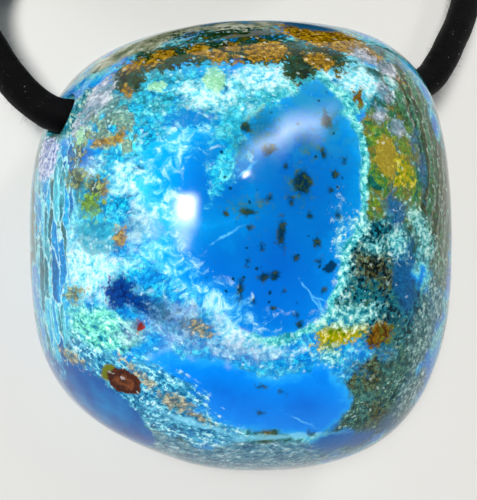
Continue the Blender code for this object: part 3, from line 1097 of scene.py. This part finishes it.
def mineral(zone, colours, grains, border, amount, soft=0.06, strength=1.0):
    """The colour so far with a mineral inlaid in its zone, with grains and painted glints if any.

    It is of one colour, of several along the fine noise, or already painted.
    """
    if isinstance(colours, bpy.types.NodeSocket):
        paint = colours
    elif isinstance(colours[0], tuple):
        paint = ramp(fine, *colours)
    else:
        paint = tint(*colours)
    if grains:
        paint = grains_and_glints(paint, grains)
    return inlay(zone, paint, border, amount, soft, strength)


# The rock between the zones, and all over the back: gel, crust and grit in clouds
marbling = grain(tree, place, MARBLING_SIZE, 6.0, 0.6, 0.5)
colour = ramp(
    marbling,
    (0.30, (0, 92, 180)), (0.42, (0, 140, 226)), (0.46, (50, 186, 226)), (0.50, (140, 222, 226)),
    (0.54, (50, 146, 160)), (0.60, (36, 96, 86)), (0.67, (92, 98, 40)), (0.76, (136, 104, 34)),
)
colour = grains_and_glints(colour, step_between(tree, marbling, 0.42, 0.5, 0.1, 0.7))

# Striped copper minerals along the right side, bent with the stone's edge
ring = put(
    tree, "Mapping",
    {"Vector": place, "Location": (-2.0, 1.0, 0.0), "Scale": (20.0, 23.0, 36.0)},
    vector_type="TEXTURE",
)
ring = put(
    tree, "TexGradient", {"Vector": ring.outputs["Vector"]}, gradient_type="SPHERICAL"
).outputs["Fac"]
bands = put(
    tree, "TexNoise",
    {"W": blend(ring, 24.0, up, 0.16), "Scale": 1.0, "Detail": 5.0, "Roughness": 0.66},
    noise_dimensions="1D",
).outputs["Fac"]
band_colour = ramp(
    blend(bands, 0.72, coarse, 0.28),
    (0.30, (8, 60, 70)), (0.36, (24, 52, 12)), (0.41, (84, 100, 24)), (0.45, (60, 132, 96)),
    (0.49, (160, 184, 170)), (0.525, (104, 74, 20)), (0.56, (28, 38, 12)), (0.60, (56, 128, 84)),
    (0.65, (150, 176, 150)), (0.70, (16, 96, 122)), (0.78, (60, 80, 20)),
)
band_colour = lay_over(tree, 0.3, band_colour, tint(20, 100, 56))
colour = inlay(RIGHT_BANDS, grains_and_glints(band_colour, 0.7), coarse, 0.6, 0.25)

# Green and olive copper minerals between the gel and those stripes
green = ramp(
    blend(coarse, 0.7, lump_number, 0.3),
    (0.30, (20, 96, 84)), (0.40, (64, 128, 62)), (0.46, (124, 146, 36)), (0.52, (70, 126, 62)),
    (0.57, (142, 130, 44)), (0.63, (84, 118, 74)), (0.71, (150, 196, 180)),
)
colour = inlay(RIGHT_GREEN, grains_and_glints(green, 0.5), coarse, 0.7, 0.15)

# Dark teal grit in the lower right, brown in places
grit = ramp(
    blend(blend(cell_number, 0.16, fine, 0.34), 1.0, coarse, 0.50),
    (0.34, (0, 28, 34)), (0.42, (4, 58, 70)), (0.48, (8, 96, 118)), (0.54, (26, 124, 136)),
    (0.59, (52, 78, 36)), (0.64, (8, 66, 76)), (0.72, (130, 210, 206)),
)
pale_grit = ramp(
    fine, (0.38, (30, 84, 84)), (0.48, (84, 136, 118)), (0.56, (70, 92, 44)),
    (0.66, (176, 222, 206)),
)
grit = lay_over(tree, step_between(tree, up, -3.5, -8.0, 0.0, 0.7), grit, pale_grit)
colour = inlay(TEAL_GRIT, grains_and_glints(grit, 0.7), coarse, 1.0, 0.3)
brown = ramp(
    blend(cell_number, 0.2, fine, 0.8),
    (0.30, (8, 16, 12)), (0.46, (40, 42, 14)), (0.56, (98, 86, 24)), (0.68, (54, 96, 76)),
)
colour = inlay(BROWN_GRIT, grains_and_glints(brown, 0.7), fine, 1.6, 0.4, 0.85)

# Pale turquoise foam, lighter clouds in it
seams = joints(place, SEAM_SIZE)
foam = ramp(
    blend(blend(coarse, 0.62, fine, 0.30), 1.0, lump_number, 0.10),
    (0.34, (0, 104, 156)), (0.41, (2, 140, 190)), (0.47, (22, 178, 216)),
    (0.54, (52, 198, 220)), (0.62, (118, 226, 232)), (0.71, (222, 252, 250)),
)
seam = times(
    step_between(tree, seams, 0.10, 0.0, 0.0, 0.45), step_between(tree, coarse, 0.42, 0.56)
)
foam = lay_over(tree, seam, foam, tint(14, 120, 150))
topmost = step_between(tree, up, 4.5, 8.0, 0.0, 0.55)
topmost = times(topmost, step_between(tree, wisps, 0.40, 0.56))
foam = lay_over(tree, topmost, foam, tint(46, 160, 168))
bluer = times(
    step_between(tree, up, 3.5, -2.0, 0.0, 0.6), step_between(tree, wisps, 0.56, 0.44)
)
foam = lay_over(tree, bluer, foam, tint(24, 146, 222))
lower_foam = step_between(tree, up, -1.0, -5.0, 0.0, 0.42)
foam = lay_over(tree, lower_foam, foam, tint(10, 158, 226))
colour = inlay(FOAM, grains_and_glints(foam, 0.6), coarse, 1.6, 0.5)
white = ((0.34, (70, 200, 226)), (0.44, (160, 238, 244)), (0.58, (238, 255, 252)))
colour = mineral(CLOUD, white, 0.35, coarse, 1.6, 0.5, 0.75)

# Blue gel: deepest in the middle of a pocket, azure and cloudy to its edge
puff = step_between(tree, across, 1.0, -4.0, 0.25, 1.5)
gel_depth = pockets(GEL_WINDOW)
rough = times(calculate(tree, "SUBTRACT", coarse, 0.5), puff)
gel_depth = calculate(tree, "MULTIPLY_ADD", rough, 2.6, gel_depth)
gel_depth = roughened(gel_depth, fine, 0.2)
gel_value = blend(gel_depth, 0.20, blend(cloudy, 0.6, wisps, 0.4), 0.60)
deep = ramp(
    gel_value,
    (0.16, (90, 210, 240)), (0.26, (16, 156, 230)), (0.38, (0, 130, 206)),
    (0.58, (0, 108, 188)), (0.95, (0, 92, 178)),
)
bright = ramp(
    gel_value,
    (0.16, (160, 238, 250)), (0.28, (50, 204, 250)), (0.40, (0, 172, 250)), (0.75, (0, 142, 242)),
)
gel = lay_over(tree, step_between(tree, across, 2.0, -3.0), deep, bright)
low_light = step_between(tree, up, 2.0, -4.0, 0.0, 0.5)
gel = lay_over(tree, low_light, gel, tint(0, 102, 214))
# Grey-teal wisps over the upper gel: partly a milky cloud in the gel, partly painted haze of the
# mirrored streak
veil_and_painted_haze = times(
    step_between(tree, up, 2.5, 8.0, 0.0, 0.8), step_between(tree, wisps, 0.36, 0.58)
)
gel = lay_over(tree, veil_and_painted_haze, gel, tint(30, 140, 184))
crust_colour = ramp(fine, (0.38, (30, 158, 176)), (0.5, (90, 204, 206)), (0.64, (176, 238, 228)))
crust = times(
    step_between(tree, gel_depth, -0.48, -0.25), step_between(tree, across, 2.4, 4.0)
)
colour = lay_over(tree, crust, colour, grains_and_glints(crust_colour, 0.35))
colour = lay_over(tree, step_between(tree, gel_depth, -0.05, 0.16), colour, gel)
clouds = ramp(wisps, (0.40, (6, 150, 236)), (0.52, (90, 210, 244)), (0.64, (206, 248, 250)))
colour = inlay(LOBE_CLOUDS, clouds, wisps, 2.2, 0.7, 0.75)
colour = inlay(FOAM_TONGUE, grains_and_glints(foam, 0.4), coarse, 1.6, 0.35, 0.95)
mottled = ((0.40, (6, 78, 110)), (0.55, (24, 104, 124)), (0.66, (70, 110, 60)))
colour = mineral(WINDOW_OLIVE, mottled, 0, fine, 1.5, 0.45, 0.65)

low_depth = roughened(pockets(GEL_BELOW), coarse, 0.55)
low_gel = ramp(
    blend(low_depth, 0.30, blend(cloudy, 0.6, wisps, 0.4), 0.60),
    (0.20, (120, 216, 244)), (0.30, (30, 164, 240)), (0.46, (0, 132, 236)), (0.90, (0, 108, 214)),
)
colour = lay_over(tree, step_between(tree, low_depth, -0.08, 0.2), colour, low_gel)
colour = inlay(CRACKS, tint(96, 200, 250), fine, 0.10, 0.06, 0.7)

# Streaky speckled rock in the lower left, and the glaze-like rock of the lower rim
streaks = grain(tree, drawn_out(*STREAKS_DRAWN_OUT), STREAK_SIZE, 4.0, 0.6)
speckle_value = blend(streaks, 0.5, blend(fine, 0.85, cell_number, 0.15), 0.5)
speckled = ramp(
    speckle_value,
    (0.34, (0, 84, 156)), (0.43, (16, 122, 176)), (0.50, (60, 164, 200)), (0.56, (120, 208, 226)),
    (0.63, (216, 246, 248)), (0.72, (120, 146, 130)),
)
colour = inlay(SPECKLED, grains_and_glints(speckled, 0.5), streaks, 1.1, 0.3)
glaze = ramp(
    blend(grain(tree, drawn_out(*GLAZE_DRAWN_OUT), GLAZE_SIZE, 4.0, 0.6), 0.6, fine, 0.4),
    (0.36, (16, 84, 130)), (0.45, (52, 128, 160)), (0.52, (96, 156, 176)), (0.62, (170, 204, 210)),
)
colour = inlay(BOTTOM_GLAZE, grains_and_glints(glaze, 0.4), coarse, 0.7, 0.25)
corner = ramp(cloudy, (0.4, (0, 84, 160)), (0.65, (0, 122, 190)))
colour = inlay(GEL_CORNER, corner, coarse, 0.3, 0.06)
colour = mineral(GEL_RIM, (0, 92, 164), 0, coarse, 0.5, 0.2, 0.9)
colour = mineral(CYAN_LINE, (130, 216, 246), 0, coarse, 0.25, 0.1, 0.7)

# Upright panels and frosted rock at the left edge
panel_place = drawn_out(*PANEL_DRAWN_OUT)
_, panel_number, _ = crystals(panel_place, 1.0)
panels = ramp(
    blend(panel_number, 0.5, grain(tree, panel_place, 1.0, 4.0, 0.6), 0.5),
    (0.24, (0, 100, 170)), (0.38, (0, 150, 214)), (0.48, (20, 180, 226)), (0.58, (100, 218, 234)),
    (0.68, (20, 130, 156)), (0.80, (70, 96, 70)),
)
panel_edges = joints(panel_place, 1.0)
outlined = step_between(tree, roughened(panel_edges, fine, 0.14), 0.07, 0.0, 0.0, 0.8)
panels = lay_over(tree, outlined, panels, tint(196, 244, 246))
colour = inlay(LEFT_PANELS, grains_and_glints(panels, 0.45), coarse, 0.8, 0.2)
stripe_colour = ramp(
    streaks, (0.36, (10, 112, 140)), (0.5, (70, 164, 172)), (0.62, (206, 230, 214))
)
colour = inlay(TEAL_STRIPES, grains_and_glints(stripe_colour), coarse, 0.5, 0.15)
frost = ((0.42, (104, 132, 196)), (0.58, (216, 226, 242)))
colour = mineral(FROSTED, frost, 0.4, fine, 0.5, 0.1)
striped_green = ramp(
    blend(streaks, 0.6, fine, 0.4),
    (0.38, (6, 136, 170)), (0.46, (76, 196, 196)), (0.54, (146, 236, 214)), (0.62, (216, 250, 238)),
)
colour = inlay(GREEN_STRIPED, grains_and_glints(striped_green), coarse, 1.0, 0.35)

# Quartz, milky lilac grey
lilac = ramp(coarse, (0.38, (96, 134, 150)), (0.50, (156, 168, 184)), (0.62, (216, 220, 226)))
bluish = lay_over(tree, 0.35, lilac, tint(60, 150, 210))
colour = inlay(LILAC_MOTTLE, grains_and_glints(bluish, 0.5), coarse, 1.5, 0.6, 0.5)
block = ramp(calculate(tree, "DIVIDE", up, 10.0), (0.64, (124, 136, 78)), (0.86, (96, 158, 166)))
block = lay_over(tree, step_between(tree, seams, 0.07, 0.0, 0.0, 0.4), block, tint(206, 226, 216))
colour = inlay(QUARTZ_BLOCK, grains_and_glints(block, 0.7), lump_number, 0.5, 0.12, 0.75)
colour = mineral(TEAL_BLOCK, (44, 150, 178), 0.3, fine, 0.4, 0.10, 0.7)

# Iron and copper oxides: the dark arc at the top, ochre, rust, olive
top_glaze = ramp(coarse, (0.36, (84, 104, 76)), (0.5, (148, 156, 124)), (0.64, (206, 210, 190)))
colour = inlay(TOP_GLAZE, grains_and_glints(top_glaze, 0.15), coarse, 0.6, 0.25)
dark = ramp(
    blend(blend(coarse, 0.4, lump_number, 0.2), 1.0, fine, 0.4),
    (0.30, (0, 30, 44)), (0.40, (6, 36, 14)), (0.48, (34, 60, 4)), (0.54, (0, 72, 66)),
    (0.60, (44, 62, 6)), (0.68, (122, 92, 2)), (0.76, (16, 106, 108)),
)
colour = inlay(TOP_DARK, grains_and_glints(dark, 0.5), fine, 1.0, 0.15)
ochre = ramp(
    blend(fine, 0.75, cell_number, 0.25),
    (0.30, (40, 36, 0)), (0.40, (110, 84, 0)), (0.52, (152, 112, 0)), (0.62, (176, 138, 20)),
    (0.76, (200, 178, 90)),
)
colour = inlay(TOP_OCHRE, grains_and_glints(ochre, 0.25), fine, 0.6, 0.08)
for row in (
    (OCHRE_BLOCK, (160, 142, 44), 0.35, fine, 0.35, 0.06),
    (OCHRE_CRUMBS, ((0.38, (74, 56, 4)), (0.5, (150, 108, 4)), (0.62, (186, 150, 40))), 0.3,
     fine, 0.5, 0.12, 0.85),
    # Its pocket at (388, 70) is a painted highlight
    (QUARTZ_AND_PAINTED_HIGHLIGHT, lilac, 0.4, fine, 0.8, 0.15, 0.9),
    (TEAL_RIM, (16, 90, 132), 0, fine, 0.3, 0.10),
    (LEFT_OLIVE, ((0.4, (34, 46, 22)), (0.5, (92, 92, 30)), (0.6, (140, 150, 96))), 0.6,
     fine, 1.2, 0.25, 0.9),
    (LEFT_GREEN, (110, 156, 50), 0.6, fine, 1.1, 0.3, 0.85),
    (CREAM, (172, 222, 176), 0.5, fine, 0.45, 0.10, 0.75),
    (YELLOW_GREEN, ((0.36, (56, 104, 4)), (0.46, (138, 156, 0)), (0.54, (172, 148, 6)),
                    (0.66, (206, 202, 70))), 0.25, fine, 0.8, 0.12),
    (RUST_CRUMBS, ((0.40, (60, 44, 8)), (0.52, (128, 84, 10)), (0.62, (96, 112, 30))), 0.6,
     fine, 0.9, 0.12),
    (RIGHT_BLUE, (0, 90, 148), 0.4, coarse, 0.9, 0.3, 0.85),
    (RIGHT_FOAM, ((0.40, (40, 160, 176)), (0.5, (110, 206, 208)), (0.62, (206, 244, 236))), 0.4,
     fine, 0.9, 0.35, 0.8),
):
    colour = mineral(*row)

# The rock of the lower right rim, and spots that stand out by themselves
rim_rock = ramp(fine, (0.38, (50, 104, 110)), (0.5, (96, 142, 142)), (0.62, (170, 200, 192)))
for row in (
    (RIM_BLUE, (6, 84, 130), 0, coarse, 0.8, 0.4, 0.8),
    (RIM_PALE, rim_rock, 0.5, coarse, 0.8, 0.3, 0.9),
    (GEL_SPECK, (0, 112, 190), 0, fine, 1.0, 0.2, 0.85),
    (SLATE, (20, 74, 112), 0, fine, 1.3, 0.4, 0.8),
    (NAVY, ((0.4, (0, 26, 90)), (0.6, (0, 66, 144))), 0, fine, 1.0, 0.25),
    (TAN, ((0.42, (84, 118, 118)), (0.6, (180, 164, 124))), 0.6, fine, 0.6, 0.12, 0.85),
    (OLIVE_RIM, (104, 112, 24), 0, fine, 0.3, 0.10),
):
    colour = mineral(*row)
oval_depth = roughened(pockets(RUST_OVAL), fine, 0.22)
oval = ramp(
    blend(oval_depth, 0.8, streaks, 0.5),
    (0.16, (24, 20, 12)), (0.30, (84, 36, 14)), (0.44, (60, 24, 12)), (0.56, (124, 66, 32)),
    (0.74, (70, 34, 16)), (0.90, (132, 92, 30)),
)
colour = lay_over(tree, step_between(tree, oval_depth, -0.03, 0.05), colour, grains_and_glints(oval, 0.4))
colour = mineral(RED_GRAIN, (140, 48, 44), 0.5, fine, 0.4, 0.12)
seed_middle, _, seed_number = crystals(place, SEAM_SIZE)
strewn = times(
    step_between(tree, seed_middle, 0.22, 0.10, 0.0, 0.85),
    step_between(tree, seed_number, 0.58, 0.66),
)
strewn = times(strewn, step_between(tree, gel_depth, 0.2, 0.5))
strewn = times(strewn, step_between(tree, across, 0.0, 1.2))
colour = lay_over(tree, strewn, colour, tint(2, 44, 62))
dot_colours = ((0.40, (0, 30, 60)), (0.52, (6, 46, 46)), (0.66, (58, 70, 20)))
colour = mineral(DOTS, dot_colours, 0, fine, 0.35, 0.14, 0.95)
colour = mineral(TEAL_WEDGE, (0, 52, 90), 0, fine, 0.2, 0.08)

join(tree, colour, shader.inputs["Base Color"])
polish = step_between(tree, grit_noise, 0.45, 0.8, 0.045, 0.14)
join(tree, polish, shader.inputs["Roughness"])
pebble.data.materials.clear()
pebble.data.materials.append(skin)


# ---------------------------------------------------------------- floor and light
# A plain pale floor, one soft light overhead and broad fill from low around it. The polished face
# mirrors a window, a hazy streak and a glint, each a faded light of its own whose ends are given
# as millimetres right of and above the middle of the face; its rims mirror the floor.
FLOOR_REACH = 1.6
FLOOR_SEGMENTS = 96
FLOOR_MOTTLE = 40.0
FLOOR_DARKER = tint(210, 208, 203)
FLOOR_LIGHTER = tint(218, 216, 212)
KEY_SPOT = (-3.35, 1.45)  # the place on the face that the key light is set out from
KEY_FAR = 0.5
KEY_SIZE = (0.034, 0.094)
KEY_POWER = 2.2
HIGHLIGHT_TOP = (-3.3, 3.4)
HIGHLIGHT_FOOT = (-3.45, -0.6)
HIGHLIGHT_HALF = 1.15
HIGHLIGHT_POWER = 1.2
STREAK_START = (-0.6, 3.9)
STREAK_END = (6.4, 9.4)
STREAK_HALF = 0.95
STREAK_POWER = 0.44
FADED_GAIN = 5.0
GLINT_FAR = 0.25
GLINT_START = (0.15, 4.2)
GLINT_END = (0.6, 4.75)
GLINT_HALF = 0.12
GLINT_POWER = 0.006
WORLD_OVERHEAD = 0.05
WORLD_LOW = 0.38
WORLD_RISE = (0.75, 0.15)  # how steep a direction is overhead, and how steep it is low
WORLD_TINT = (0.93, 0.96, 1.0)


def mirrored(across, up):
    """Where the face mirrors to at this place: the spot, and the way that light comes from."""
    spot, out = on_face(across, up)
    back = (eye - spot).normalized()
    return spot, (2 * out.dot(back) * out - back).normalized()


def soft_light(name, place, aim, size, power):
    """A rectangle of light that the camera doesn't see."""
    data = bpy.data.lights.new(name, "AREA")
    data.shape = "RECTANGLE"
    data.size, data.size_y = size
    data.energy = power
    lamp = bpy.data.objects.new(name, data)
    lamp.matrix_world = Matrix.Translation(place) @ (
        (aim - place).to_track_quat("-Z", "Y").to_matrix().to_4x4()
    )
    lamp.visible_camera = False
    bpy.context.scene.collection.objects.link(lamp)
    return lamp


def fade_edges(lamp):
    """Makes a light brightest in its middle, and nothing at its edges."""
    lamp.data.use_nodes = True
    tree = lamp.data.node_tree
    spread = put(tree, "NewGeometry", {}).outputs["Parametric"]
    middle = put(
        tree, "Mapping",
        {"Vector": spread, "Location": (-1.0, -1.0, 0.0), "Scale": (2.0, 2.0, 0.0)},
    )
    near = put(
        tree, "TexGradient", {"Vector": middle.outputs["Vector"]}, gradient_type="QUADRATIC_SPHERE"
    ).outputs["Fac"]
    faded = calculate(tree, "MULTIPLY", near, FADED_GAIN)
    join(tree, faded, tree.nodes["Emission"].inputs["Strength"])


def streak_light(name, start, end, half_wide, far, power):
    """A light that the face mirrors as a hazy streak between two places on it."""
    (spot_a, way_a), (spot_b, way_b) = mirrored(*start), mirrored(*end)
    first, last = spot_a + far * way_a, spot_b + far * way_b
    middle = (first + last) / 2
    aim = (spot_a + spot_b) / 2
    aside = Vector((end[1] - start[1], start[0] - end[0])).normalized() * half_wide
    edges = [
        (start[0] + end[0]) / 2 + side * aside.x for side in (-1, 1)
    ], [(start[1] + end[1]) / 2 + side * aside.y for side in (-1, 1)]
    (spot_c, way_c), (spot_d, way_d) = (mirrored(*place) for place in zip(*edges))
    wide = ((spot_d + far * way_d) - (spot_c + far * way_c)).length
    lamp = soft_light(name, middle, aim, ((last - first).length, wide), power)
    facing = (middle - aim).normalized()
    long_way = (last - first - (last - first).dot(facing) * facing).normalized()
    turn = Matrix((long_way, facing.cross(long_way), facing)).transposed()
    lamp.matrix_world = Matrix.Translation(middle) @ turn.to_4x4()
    return lamp


spot, way = mirrored(*KEY_SPOT)
key = soft_light("key", spot + KEY_FAR * way, spot, KEY_SIZE, KEY_POWER)
key.data.shape = "ELLIPSE"
key.visible_glossy = False
fade_edges(streak_light(
    "window_mirrored", HIGHLIGHT_TOP, HIGHLIGHT_FOOT, HIGHLIGHT_HALF, KEY_FAR, HIGHLIGHT_POWER
))
fade_edges(streak_light("streak", STREAK_START, STREAK_END, STREAK_HALF, KEY_FAR, STREAK_POWER))
fade_edges(streak_light("glint", GLINT_START, GLINT_END, GLINT_HALF, GLINT_FAR, GLINT_POWER))

bm = bmesh.new()
bmesh.ops.create_circle(bm, cap_ends=True, segments=FLOOR_SEGMENTS, radius=FLOOR_REACH)
floor = piece_from(bm, "floor")
floor_finish, tree, shader = new_finish("pale_floor", Roughness=0.8)
tone = grain(tree, millimetres(tree), FLOOR_MOTTLE)
join(tree, lay_over(tree, tone, FLOOR_DARKER, FLOOR_LIGHTER), shader.inputs["Base Color"])
floor.data.materials.append(floor_finish)

# Dim right overhead and pale toward the horizon
world = bpy.data.worlds.new("studio")
bpy.context.scene.world = world
world.use_nodes = True
tree = world.node_tree
direction = put(tree, "TexCoord", {}).outputs["Generated"]
rise = put(tree, "SeparateXYZ", {"Vector": direction}).outputs["Z"]
strength = step_between(tree, rise, *WORLD_RISE, WORLD_OVERHEAD, WORLD_LOW)
background = tree.nodes["Background"]
join(tree, WORLD_TINT, background.inputs["Color"])
join(tree, strength, background.inputs["Strength"])
bpy.context.scene.view_settings.view_transform = "Standard"
